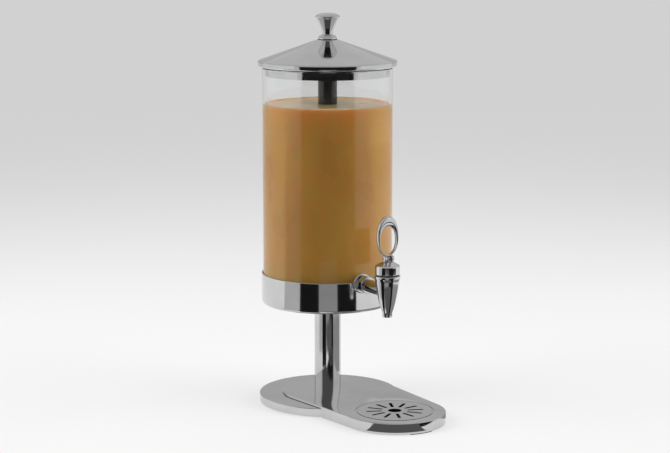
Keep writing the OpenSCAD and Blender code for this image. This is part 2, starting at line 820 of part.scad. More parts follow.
module cooling_gel() {
    color("#7fb4d8") translate([0, 0, tube_bottom + tube_wall])
        cylinder(r = tube_in - thread_fit, h = tube_top - cap_plug_h - tube_bottom - tube_wall - move_gap);
}

// Drip tray
// The rear and front lobes, joined by their common tangents
lobe_to_front = front_centre - lobe_centre;
tray_dir = atan2(lobe_to_front[1], lobe_to_front[0]);
tangent_turn = acos((lobe_r - front_r) / norm(lobe_to_front));
module tray_outline(inset) {
    polygon(concat(
        arc(lobe_centre, lobe_r - inset, tray_dir + tangent_turn, tray_dir + 360 - tangent_turn, 60),
        arc(front_centre, front_r - inset, tray_dir - tangent_turn, tray_dir + tangent_turn, 48)
    ));
}
module on_front() {
    translate([front_centre[0], front_centre[1], 0]) children();
}
module tray_plate() {
    color("#c9cacb") difference() {
        translate([0, 0, skirt_lift]) linear_extrude(tray_top - skirt_lift) tray_outline(0);
        linear_extrude(tray_under) tray_outline(skirt_t);
        cylinder(r = skirt_clear_r, h = tray_under);
        cylinder(r = pillar_r + run_fit, h = tray_top + eps);
        on_front() translate([0, 0, grid_z]) cylinder(r = recess_r, h = grid_t + eps);
        on_front() cylinder(r = bowl_in, h = tray_top);
    }
}
module drip_bowl() {
    color("#262628") on_front() translate([0, 0, tray_under - bowl_h]) difference() {
        cylinder(r = bowl_r, h = bowl_h);
        translate([0, 0, bowl_wall]) cylinder(r = bowl_in, h = bowl_h);
    }
}
module tray_foot() {
    inside = front_r - skirt_t - run_fit;
    color("#202022") on_front() rotate([0, 0, -90 - foot_span / 2]) rotate_extrude(angle = foot_span)
        polygon([
            [front_r - foot_w, 0], [front_r, 0], [front_r, skirt_lift],
            [inside, skirt_lift], [inside, foot_h], [front_r - foot_w, foot_h]
        ]);
}
module slot(from, to, w) {
    translate([from, -w / 2]) square([to - from, w]);
    translate([from, 0]) circle(d = w);
    translate([to, 0]) circle(d = w);
}
module drip_grid() {
    slot_out = bowl_in - slot_margin;
    color("#c9cacb") on_front() translate([0, 0, grid_z]) linear_extrude(grid_t) difference() {
        circle(r = grid_r);
        circle(r = finger_r);
        for (i = [0:slot_count - 1]) rotate(slot_turn - 90 + 360 * i / slot_count)
            slot(slot_in, slot_out - slot_w / 2, slot_w);
    }
}

base_pad();
ballast();
base_disc();
base_washer();
base_bolt();
pillar_foot();
pillar();
pillar_head();
glide_washer();
thrust_washer();
retainer_washer();
retainer_screw();
cup();
cup_hub();
swivel_bush();
seat_ring();
seat_pad();
jar();
outer_seal();
inner_seal();
lock_nut();
wall_flange();
collar_nut();
collar_washer();
tap_body();
bonnet_seal();
tap_bonnet();
valve_seal();
valve_stem();
valve_spring();
lever_pin();
tap_lever();
lid_shell();
lid_plug();
lid_gasket();
knob_washer();
knob();
knob_stud();
tube_holder();
tube_cap();
cooling_tube();
cooling_gel();
tray_plate();
drip_bowl();
tray_foot();
drip_grid();
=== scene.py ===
"""Looks of a cold drink dispenser: a clear jar on a steel pillar, with a tap and a drip tray.

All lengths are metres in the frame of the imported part. Turned pieces are profiles carried
round an axis, the tray is a profile carried round its outline, and the lever is an oval tube.
"""

import json
import logging
import math
from dataclasses import dataclass
from enum import Enum

import bmesh
import bpy
import numpy as np
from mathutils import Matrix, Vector, geometry


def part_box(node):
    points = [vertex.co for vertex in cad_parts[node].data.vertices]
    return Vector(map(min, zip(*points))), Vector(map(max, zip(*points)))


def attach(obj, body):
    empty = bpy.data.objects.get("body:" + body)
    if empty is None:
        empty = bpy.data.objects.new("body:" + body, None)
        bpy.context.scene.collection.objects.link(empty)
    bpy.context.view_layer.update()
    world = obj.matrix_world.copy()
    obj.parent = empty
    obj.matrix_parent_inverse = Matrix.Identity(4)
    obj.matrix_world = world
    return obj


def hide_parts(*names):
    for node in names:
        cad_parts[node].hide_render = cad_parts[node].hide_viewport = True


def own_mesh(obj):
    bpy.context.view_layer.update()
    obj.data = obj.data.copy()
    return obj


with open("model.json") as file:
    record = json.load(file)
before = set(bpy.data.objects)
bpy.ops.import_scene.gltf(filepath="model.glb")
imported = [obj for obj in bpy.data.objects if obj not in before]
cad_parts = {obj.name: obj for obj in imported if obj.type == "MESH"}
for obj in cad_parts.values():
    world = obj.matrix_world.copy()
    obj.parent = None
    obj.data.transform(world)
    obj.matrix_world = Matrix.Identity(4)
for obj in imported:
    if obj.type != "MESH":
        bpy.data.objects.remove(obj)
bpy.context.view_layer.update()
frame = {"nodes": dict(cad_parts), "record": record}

LOG = logging.getLogger("dispenser")
MM = 0.001
TURN = 2.0 * math.pi
UNIT = (0.0, 1.0)
WHITE = (1.0, 1.0, 1.0, 1.0)
BLACK = (0.0, 0.0, 0.0, 1.0)
TINY = 1e-9
SAME_POINT = 0.002 * MM  # points nearer than this are merged
NO_LENGTH = 0.0001 * MM  # edges shorter than this are dropped
STRAIGHT = 0.999999  # largest cosine that rounded() takes at a corner
GUARD_SHARE, GUARD_MOST = 0.25, 0.3 * MM  # a guard point's way from its arc
MIX_FIRST, MIX_SECOND, MIX_COLOUR = 6, 7, 2  # colour sockets of a mix node
FRONT = -90.0  # angle of the tap's side, in degrees

Array = np.ndarray
Mesh = tuple[Array, list[list[int]]]
Materials = dict[str, bpy.types.Material]
Socket = bpy.types.NodeSocket
Input = Socket | float | tuple[float, ...]
Pair = tuple[float, float]
Triple = tuple[float, float, float]
Rgb = Triple


class Axis(Enum):
    """Axis that a piece is turned about, as the order of (radial, radial, along) coordinates."""

    X = (2, 0, 1)
    Y = (0, 2, 1)
    Z = (0, 1, 2)


class Grain(Enum):
    """Direction of the fine lines that polishing leaves, as stretch of the pattern."""

    ROUND = (12.0, 12.0, 1500.0)
    CROSS = (12.0, 1500.0, 12.0)
    EVEN = (300.0, 300.0, 300.0)


# Surfaces


def rounded(*corners: tuple[float, ...], closed: bool = False, steps: int = 6) -> Array:
    """Round the corners of a profile.

    At each corner the two edges are cut back by radius / tan(half the angle between them), and an
    arc of that radius joins the cuts. A short guard point on each edge keeps the flats flat.

    Args:
        corners: (radius from the axis, place along it, rounding if any) of each corner.
        closed: Whether the last corner joins the first.
        steps: Number of chords in each rounding.

    Returns:
        Points of the rounded profile, one row each.
    """
    table = np.array([(*corner, 0.0)[:3] for corner in corners], float)
    place, radius = table[:, :2], table[:, 2].copy()
    if not closed:
        radius[[0, -1]] = 0.0
    back = np.roll(place, 1, axis=0) - place
    ahead = np.roll(place, -1, axis=0) - place
    back /= np.linalg.norm(back, axis=1, keepdims=True)
    ahead /= np.linalg.norm(ahead, axis=1, keepdims=True)
    angle = np.arccos(np.clip((back * ahead).sum(1), -STRAIGHT, STRAIGHT))
    cut = radius / np.tan(angle / 2.0)
    inward = back + ahead
    inward /= np.maximum(np.linalg.norm(inward, axis=1, keepdims=True), TINY)
    centre = place + inward * (radius / np.sin(angle / 2.0))[:, None]
    turn = np.sign(back[:, 1] * ahead[:, 0] - back[:, 0] * ahead[:, 1]) * (math.pi - angle)
    sweep = turn[:, None] * np.linspace(*UNIT, steps + 1)[None, :]
    arm = place + back * cut[:, None] - centre
    x, y, cos, sin = arm[:, :1], arm[:, 1:], np.cos(sweep), np.sin(sweep)
    arc = centre[:, None, :] + np.stack([x * cos - y * sin, x * sin + y * cos], axis=2)
    guard = np.minimum(GUARD_SHARE * radius, GUARD_MOST)
    before = place + back * (cut + guard)[:, None]
    after = place + ahead * (cut + guard)[:, None]
    points = np.concatenate([before[:, None], arc, after[:, None]], axis=1).reshape(-1, 2)
    apart = np.linalg.norm(points - np.roll(points, 1, axis=0), axis=1) > NO_LENGTH
    apart[0] = True
    return points[apart]


def bowed(start: Pair, bend: Pair, end: Pair, steps: int = 20) -> Array:
    """Quadratic curve (1-t)^2 start + 2t(1-t) bend + t^2 end.

    Args:
        start: First point.
        bend: Point that pulls the curve.
        end: Last point.
        steps: Number of chords.

    Returns:
        Points of the curve, one row each.
    """
    t = np.linspace(*UNIT, steps + 1)[:, None]
    return (1 - t) ** 2 * np.array(start) + 2 * t * (1 - t) * np.array(bend) + t**2 * np.array(end)


def full_turn(steps: int) -> Array:
    """Angles of a number of equal steps once round."""
    return np.linspace(0.0, TURN, steps, endpoint=False)


def grid_mesh(x: Array, y: Array, z: Array, wrap_rows: bool = False, wrap_columns: bool = True) -> Mesh:
    """Points over a grid, with quads between neighbouring rows and columns.

    Args:
        x: First coordinate; all three broadcast against each other.
        y: Second coordinate.
        z: Third coordinate.
        wrap_rows: Whether the last row joins the first.
        wrap_columns: Whether the last column joins the first.

    Returns:
        Points and faces.
    """
    points = np.stack(np.broadcast_arrays(x, y, z), axis=2)
    near = np.arange(points[..., 0].size).reshape(points.shape[:2])
    if wrap_rows:
        near = np.vstack([near, near[:1]])
    if wrap_columns:
        near = np.hstack([near, near[:, :1]])
    quads = np.stack([near[:-1, :-1], near[:-1, 1:], near[1:, 1:], near[1:, :-1]], axis=2)
    return points.reshape(-1, 3), quads.reshape(-1, 4).tolist()


def turned(
    profile: Array,
    axis: Axis = Axis.Z,
    centre: Triple = (0.0, 0.0, 0.0),
    steps: int = 160,
    closed: bool = False,
) -> Mesh:
    """Carry a profile round an axis: (r cos a, r sin a, h) for each profile point (r, h).

    Args:
        profile: (radius, place along the axis) rows.
        axis: Axis to turn about.
        centre: Point that the axis passes through.
        steps: Number of columns round the axis.
        closed: Whether the profile is a closed loop.

    Returns:
        Points and faces.
    """
    a = full_turn(steps)[None, :]
    r, h = profile[:, :1], profile[:, 1:]
    points, faces = grid_mesh(r * np.cos(a), r * np.sin(a), h, closed)
    return points[:, list(axis.value)] + np.array(centre), faces


def joined(*meshes: Mesh) -> Mesh:
    """Put meshes together, with the corner numbers of each moved past those before it."""
    starts = np.cumsum([0] + [len(points) for points, _ in meshes[:-1]])
    faces = [[c + int(s) for c in f] for (_, part), s in zip(meshes, starts) for f in part]
    return np.concatenate([points for points, _ in meshes]), faces


def inside(points: Array, loop: Array) -> Array:
    """Even-odd test of which points lie in a loop: count the edges that a ray to the right crosses."""
    x, y = points[:, :1], points[:, 1:]
    a, b = loop[None, :, :], np.roll(loop, -1, axis=0)[None, :, :]
    spans = (a[..., 1] > y) != (b[..., 1] > y)
    rise = np.where(b[..., 1] == a[..., 1], TINY, b[..., 1] - a[..., 1])
    crosses = spans & (x < a[..., 0] + (y - a[..., 1]) * (b[..., 0] - a[..., 0]) / rise)
    return crosses.sum(1) % 2 == 1


def flat_face(outer: Array, holes: list[Array], z: float) -> Mesh:
    """Fill a flat outline with holes with triangles that keep every given edge.

    Args:
        outer: Outline, one (x, y) row each.
        holes: Outlines of the holes.
        z: Height of the face.

    Returns:
        Points and faces.
    """
    loops = [outer, *holes]
    starts = np.cumsum([0] + [len(loop) for loop in loops[:-1]])
    counts = [np.arange(len(loop)) for loop in loops]
    edges = np.concatenate([np.stack([s + n, s + np.roll(n, -1)], 1) for n, s in zip(counts, starts)])
    flat = [Vector(p) for p in np.concatenate(loops).tolist()]
    found = geometry.delaunay_2d_cdt(flat, edges.tolist(), [], 1, TINY)
    points = np.array([list(p) for p in found[0]])
    faces = np.array(found[2])
    centres = points[faces].mean(1)
    keep = inside(centres, outer)
    for hole in holes:
        keep &= ~inside(centres, hole)
    return np.column_stack([points, np.full(len(points), z)]), faces[keep].tolist()


def circle(radius: float, centre: Pair, steps: int) -> Array:
    """Points of a circle, one (x, y) row each, counted as turned() counts them."""
    a = full_turn(steps)
    return np.stack([centre[0] + radius * np.cos(a), centre[1] + radius * np.sin(a)], axis=1)


def add_piece(
    name: str,
    mesh: Mesh,
    materials: Materials,
    body: str,
    slot: str,
    *nodes: str,
    crease: float = 32.0,
) -> bpy.types.Object:
    """Make a mesh into a piece that rides on a body.

    Args:
        name: Name of the piece.
        mesh: Points and faces.
        materials: Finishes by slot.
        body: Body that it moves with.
        slot: Finish of the piece, a slot of the record where the piece stands for nodes.
        nodes: Nodes that the piece stands for.
        crease: Angle in degrees past which an edge stays sharp.

    Returns:
        The new object, at the origin.
    """
    data = bpy.data.meshes.new(name)
    data.from_pydata(mesh[0].tolist(), [], mesh[1])
    work = bmesh.new()
    work.from_mesh(data)
    bmesh.ops.remove_doubles(work, verts=work.verts, dist=SAME_POINT)
    bmesh.ops.dissolve_degenerate(work, edges=work.edges, dist=NO_LENGTH)
    bmesh.ops.recalc_face_normals(work, faces=work.faces)
    work.to_mesh(data)
    work.free()
    data.shade_smooth()
    data.set_sharp_from_angle(angle=math.radians(crease))
    data.materials.append(materials[slot])
    piece = bpy.data.objects.new(name, data)
    bpy.context.scene.collection.objects.link(piece)
    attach(piece, body)
    if nodes:
        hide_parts(*nodes)
    LOG.info("%s: %d faces on %s", name, len(data.polygons), body)
    return piece


# Finishes


def wire(node: bpy.types.Node, **inputs: Input) -> bpy.types.Node:
    """Link or set inputs of a node.

    Args:
        node: Node to change.
        inputs: Socket or constant for each input, with _ for a space in its name.

    Returns:
        The same node.
    """
    for name, value in inputs.items():
        socket = node.inputs[name.replace("_", " ")]
        if isinstance(value, Socket):
            node.id_data.links.new(value, socket)
        else:
            socket.default_value = value
    return node


class Graph:
    """Nodes of a finish or of the sky."""

    def __init__(self, tree: bpy.types.NodeTree) -> None:
        """Hold the tree that nodes are added to."""
        self.tree = tree

    def add(self, kind: str, **inputs: Input) -> bpy.types.Node:
        """Add a shader node of a kind and wire its inputs."""
        return wire(self.tree.nodes.new(f"ShaderNode{kind}"), **inputs)

    def combine(self, operation: str, first: Socket, second: Socket) -> Socket:
        """Socket with the result of a maths operation on two values."""
        node = self.add("Math")
        node.operation = operation
        for value, socket in zip((first, second), node.inputs):
            self.tree.links.new(value, socket)
        return node.outputs["Value"]

    def rays(self, *kinds: str) -> Socket:
        """Make a switch for kinds of rays that reach the eye by way of mirrors and glass alone.

        Args:
            kinds: Kinds of rays that count.

        Returns:
            Socket that is 1 for those rays and 0 for all others.
        """
        path = self.add("LightPath").outputs
        share = path[f"Is {kinds[0]} Ray"]
        for kind in kinds[1:]:
            share = self.combine("MAXIMUM", share, path[f"Is {kind} Ray"])
        return self.combine("MULTIPLY", share, self.span(path["Diffuse Depth"], UNIT, (1.0, 0.0)))

    def span(self, value: Socket, start: Pair, end: Pair = UNIT) -> Socket:
        """Carry a value from one range onto another.

        Args:
            value: Socket to read.
            start: Range to read.
            end: Range to give.

        Returns:
            Socket with the new value.
        """
        limits = dict(zip(("From_Min", "From_Max", "To_Min", "To_Max"), (*start, *end)))
        return self.add("MapRange", Value=value, **limits).outputs["Result"]


class Recipe(Graph):
    """Node graph of one finish, with patterns on Object coordinates."""

    def __init__(self, name: str) -> None:
        """Start a material with a plain shader."""
        self.material = bpy.data.materials.new(name)
        self.material.use_nodes = True
        super().__init__(self.material.node_tree)
        self.coords = self.add("TexCoord").outputs["Object"]

    def set(self, **inputs: Input) -> None:
        """Link or set inputs of the shader."""
        wire(self.tree.nodes["Principled BSDF"], **inputs)

    def noise(self, scale: float, detail: float, stretch: Triple = (1.0, 1.0, 1.0)) -> Socket:
        """Add a noise pattern.

        Args:
            scale: Patterns per metre before stretching.
            detail: Octaves of finer noise.
            stretch: Factor along each axis.

        Returns:
            Socket with a value from 0 to 1.
        """
        place = self.add("Mapping", Vector=self.coords, Scale=stretch).outputs["Vector"]
        return self.add("TexNoise", Vector=place, Scale=scale, Detail=detail).outputs["Fac"]

    def height(self) -> Socket:
        """Socket with the height of each point, in metres."""
        return self.add("SeparateXYZ", Vector=self.coords).outputs["Z"]

    def blend(self, share: Socket, first: Rgb | Socket, second: Rgb) -> Socket:
        """Mix two colours.

        Args:
            share: Socket with the share of the second colour.
            first: Colour, or socket with one, at share 0.
            second: Colour at share 1.

        Returns:
            Socket with the mixed colour.
        """
        node = self.add("Mix", Factor=share)
        node.data_type = "RGBA"
        if isinstance(first, Socket):
            self.tree.links.new(first, node.inputs[MIX_FIRST])
        else:
            node.inputs[MIX_FIRST].default_value = (*first, 1.0)
        node.inputs[MIX_SECOND].default_value = (*second, 1.0)
        return node.outputs[MIX_COLOUR]

    def bump(self, value: Socket, strength: float, depth: float) -> None:
        """Raise the surface by a pattern.

        Args:
            value: Socket with the pattern.
            strength: Share of the effect, 0 to 1.
            depth: Height of the pattern in metres.
        """
        node = self.add("Bump", Height=value, Strength=strength, Distance=depth)
        self.set(Normal=node.outputs["Normal"])


@dataclass(frozen=True)
class MetalFinish:
    """Metal with polishing lines, faint smears and an uneven gloss."""

    shade: Rgb
    smear: Rgb
    gloss: Pair
    grain: Grain = Grain.ROUND
    line_strength: float = 0.05
    line_depth: float = 0.02 * MM
    line_span: Pair = (0.3, 0.7)
    smear_scale: float = 26.0
    smear_span: Pair = (0.35, 0.7)

    def material(self, name: str) -> bpy.types.Material:
        """Build the material under a name."""
        recipe = Recipe(name)
        smears = recipe.span(recipe.noise(self.smear_scale, detail=3.0), self.smear_span)
        recipe.set(Metallic=1.0, Base_Color=recipe.blend(smears, self.shade, self.smear))
        lines = recipe.noise(1.0, detail=2.0, stretch=self.grain.value)
        recipe.set(Roughness=recipe.span(lines, self.line_span, self.gloss))
        recipe.bump(lines, self.line_strength, self.line_depth)
        return recipe.material


@dataclass(frozen=True)
class SolidFinish:
    """Rubber, silicone or hard plastic: a mottled colour with a fine moulded grain."""

    shade: Rgb
    fleck: Rgb
    gloss: Pair
    grain_scale: float = 2500.0
    grain_strength: float = 0.35
    grain_span: Pair = (0.3, 0.7)
    depth: float = 0.08 * MM
    fleck_scale: float = 60.0
    fleck_span: Pair = (0.35, 0.65)
    milky: float = 0.0
    milky_reach: float = 4.0 * MM

    def material(self, name: str) -> bpy.types.Material:
        """Build the material under a name."""
        recipe = Recipe(name)
        recipe.set(Subsurface_Weight=self.milky, Subsurface_Scale=self.milky_reach)
        grain = recipe.noise(self.grain_scale, detail=3.0)
        flecks = recipe.span(recipe.noise(self.fleck_scale, detail=4.0), self.fleck_span)
        recipe.set(Base_Color=recipe.blend(flecks, self.shade, self.fleck))
        recipe.set(Roughness=recipe.span(grain, self.grain_span, self.gloss))
        recipe.bump(grain, self.grain_strength, self.depth)
        return recipe.material


@dataclass(frozen=True)
class ClearFinish:
    """Clear moulded plastic, a little wavy and with faint smears."""

    tint: Rgb
    haze: Rgb
    gloss: Pair
    index: float
    smear_scale: float = 18.0
    haze_span: Pair = (0.4, 0.75)
    gloss_span: Pair = (0.4, 0.8)
    wave_scale: float = 9.0
    wave_strength: float = 0.02
    wave_depth: float = 0.1 * MM

    def material(self, name: str) -> bpy.types.Material:
        """Build the material under a name."""
        recipe = Recipe(name)
        recipe.set(Transmission_Weight=1.0, IOR=self.index)
        smears = recipe.noise(self.smear_scale, detail=4.0)
        recipe.set(Base_Color=recipe.blend(recipe.span(smears, self.haze_span), self.tint, self.haze))
        recipe.set(Roughness=recipe.span(smears, self.gloss_span, self.gloss))
        recipe.bump(recipe.noise(self.wave_scale, detail=1.0), self.wave_strength, self.wave_depth)
        return recipe.material


@dataclass(frozen=True)
class DrinkFinish:
    """Cloudy fruit drink: fine pulp, slow clouds and a paler skin near its surface."""

    deep: Rgb
    cloud: Rgb
    pulp: Rgb
    skin: Rgb
    surface: float
    skin_depth: float = 4.0 * MM
    milky: float = 0.9
    milky_reach: float = 60.0 * MM
    milky_radius: Triple = (1.0, 0.12, 0.08)
    sheen: float = 0.3
    gloss: Pair = (0.25, 0.4)
    cloud_scale: float = 16.0
    cloud_stretch: Triple = (1.0, 1.0, 0.6)
    cloud_span: Pair = (0.35, 0.7)
    pulp_scale: float = 900.0
    pulp_span: Pair = (0.62, 0.72)
    pulp_share: float = 0.5
    pulp_strength: float = 0.1
    pulp_depth: float = 0.2 * MM

    def material(self, name: str) -> bpy.types.Material:
        """Build the material under a name."""
        recipe = Recipe(name)
        recipe.set(Subsurface_Weight=self.milky, Subsurface_Scale=self.milky_reach)
        recipe.set(Subsurface_Radius=self.milky_radius, Specular_IOR_Level=self.sheen)
        slow = recipe.span(recipe.noise(self.cloud_scale, 4.0, self.cloud_stretch), self.cloud_span)
        fine = recipe.span(recipe.noise(self.pulp_scale, 2.0), self.pulp_span, (0.0, self.pulp_share))
        near = recipe.span(recipe.height(), (self.surface - self.skin_depth, self.surface))
        body = recipe.blend(fine, recipe.blend(slow, self.deep, self.cloud), self.pulp)
        recipe.set(Base_Color=recipe.blend(near, body, self.skin))
        recipe.set(Roughness=recipe.span(slow, UNIT, self.gloss))
        recipe.bump(fine, self.pulp_strength, self.pulp_depth)
        return recipe.material


SLOT_FINISH: dict[str, MetalFinish | SolidFinish | ClearFinish] = {
    "polished_steel": MetalFinish((0.64, 0.64, 0.64), (0.58, 0.58, 0.585), (0.05, 0.12)),
    "chrome_plate": MetalFinish((0.67, 0.67, 0.675), (0.6, 0.6, 0.61), (0.03, 0.09), Grain.EVEN, 0.02),
    "plain_steel": MetalFinish((0.5, 0.5, 0.51), (0.38, 0.38, 0.39), (0.25, 0.45), Grain.CROSS, 0.15),
    "cast_weight": MetalFinish(
        (0.12, 0.12, 0.13), (0.2, 0.19, 0.18), (0.55, 0.8), Grain.EVEN, 0.6, line_depth=0.3 * MM
    ),
    "black_rubber": SolidFinish((0.018, 0.018, 0.019), (0.03, 0.03, 0.03), (0.55, 0.8)),
    "black_plastic": SolidFinish((0.02, 0.02, 0.021), (0.03, 0.03, 0.031), (0.35, 0.5)),
    "smoke_plastic": SolidFinish(
        (0.03, 0.03, 0.033), (0.045, 0.045, 0.048), (0.08, 0.16), depth=0.01 * MM
    ),
    "pale_silicone": SolidFinish((0.74, 0.72, 0.67), (0.68, 0.66, 0.61), (0.35, 0.55), milky=0.3),
    "white_nylon": SolidFinish((0.8, 0.8, 0.77), (0.74, 0.74, 0.71), (0.35, 0.5), milky=0.15),
    "bronze": MetalFinish((0.55, 0.37, 0.17), (0.42, 0.27, 0.12), (0.25, 0.45), Grain.ROUND, 0.1),
    "clear_jar": ClearFinish((0.985, 0.995, 0.995), (0.965, 0.975, 0.975), (0.0, 0.025), index=1.49),
}


# Sub-assemblies


def middle(node: str) -> Vector:
    """Middle of a node's box."""
    low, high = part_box(node)
    return (low + high) / 2


def tube_profile(r_out: float, r_in: float, low: float, high: float, edge: float) -> Array:
    """Closed profile of a ring with rounded outer edges."""
    return rounded((r_in, low), (r_out, low, edge), (r_out, high, edge), (r_in, high), closed=True)


def rod_profile(radius: float, low: float, high: float, low_edge: float, high_edge: float) -> Array:
    """Profile of a round rod from axis to axis, with the rounding of its two edges."""
    return rounded((0.0, low), (radius, low, low_edge), (radius, high, high_edge), (0.0, high))


@dataclass
class Stand:
    """Foot disc and pillar."""

    disc_edge: float = 1.0 * MM
    disc_hem: float = 0.3 * MM
    disc_sheet: float = 1.5 * MM
    pillar_edge: float = 0.4 * MM
    pillar_wall: float = 2.0 * MM

    def build(self, materials: Materials) -> None:
        """Make the disc, a turned-down sheet off the pillar's axis, and the pillar, a tube."""
        low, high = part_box("base_disc")
        centre, radius = middle("base_disc"), (high.x - low.x) / 2
        profile = rounded(
            (0.0, high.z),
            (radius, high.z, self.disc_edge),
            (radius, low.z, self.disc_hem),
            (radius - self.disc_sheet, low.z),
            (radius - self.disc_sheet, high.z - self.disc_sheet),
            (0.0, high.z - self.disc_sheet),
        )
        disc = turned(profile, centre=(centre.x, centre.y, 0.0), steps=256)
        add_piece("foot_disc", disc, materials, "stand", "polished_steel", "base_disc")
        low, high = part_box("pillar")
        profile = tube_profile(high.x, high.x - self.pillar_wall, low.z, high.z, self.pillar_edge)
        tube = turned(profile, closed=True)
        add_piece("pillar_tube", tube, materials, "stand", "polished_steel", "pillar")


@dataclass
class Cup:
    """Polished band and floor that hold the jar, notched at the tap."""

    wall: float = 1.5 * MM
    edge: float = 4.0 * MM
    lip: float = 0.6 * MM
    notch_gap: float = 0.8 * MM

    def build(self, materials: Materials) -> None:
        """Make the cup: a turned profile whose top edge dips to the notch's half circle at the tap."""
        low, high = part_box("cup")
        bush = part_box("swivel_bush")[1].x
        radius, inner, floor = high.x, high.x - self.wall, low.z + self.wall
        profile = rounded(
            (bush, low.z),
            (radius, low.z, self.edge),
            (radius, high.z, self.lip),
            (inner, high.z, self.lip),
            (inner, floor, self.edge - self.wall),
            (bush, floor),
            closed=True,
        )
        points, faces = turned(profile, steps=720, closed=True)
        seal_low, seal_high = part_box("outer_seal")
        notch = (seal_high.x - seal_low.x) / 2 + self.notch_gap
        dip = middle("outer_seal").z - np.sqrt(np.maximum(notch**2 - points[:, 0] ** 2, 0.0))
        at_tap = (points[:, 1] < 0.0) & (np.abs(points[:, 0]) < notch)
        points[:, 2] = np.where(at_tap, np.minimum(points[:, 2], dip), points[:, 2])
        add_piece("cup_band", (points, faces), materials, "cup", "polished_steel", "cup")


@dataclass
class Reservoir:
    """Clear jar and the drink in it."""

    edge: float = 6.0 * MM
    lip: float = 1.3 * MM
    wall: float = 3.0 * MM
    floor: float = 5.0 * MM
    inner_edge: float = 2.5 * MM
    drink_height: float = 225.0 * MM
    wetting: float = 0.3 * MM
    meniscus: float = 1.6 * MM
    meniscus_width: float = 5.0 * MM

    def build(self, materials: Materials) -> None:
        """Make the jar as one clear solid, and the drink as a solid that wets its inner face."""
        low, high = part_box("jar")
        radius, inner, floor = high.x, high.x - self.wall, low.z + self.floor
        profile = rounded(
            (0.0, low.z),
            (radius, low.z, self.edge),
            (radius, high.z, self.lip),
            (inner, high.z, self.lip),
            (inner, floor, self.inner_edge),
            (0.0, floor),
            steps=10,
        )
        wall = turned(profile, steps=256)
        jar = add_piece("clear_jar", wall, materials, "reservoir", "clear_jar", "jar", crease=60.0)
        jar.visible_shadow = False
        level, wet, base = floor + self.drink_height, inner + self.wetting, floor - self.wetting
        side = rounded((0.0, base), (wet, base, self.inner_edge), (wet, level))
        climb, flat = (wet, level + self.meniscus), (wet - self.meniscus_width, level)
        skin = bowed(climb, (wet - self.wetting, level), flat)
        profile = np.concatenate([side, skin, np.array([[wet / 2, level], [0.0, level]])])
        finish = DrinkFinish(
            deep=(0.52, 0.283, 0.058),
            cloud=(0.58, 0.342, 0.072),
            pulp=(0.66, 0.42, 0.1),
            skin=(0.58, 0.39, 0.15),
            surface=level,
        )
        drink = turned(profile, steps=192)
        add_piece("drink", drink, {"drink": finish.material("cloudy_drink")}, "reservoir", "drink")


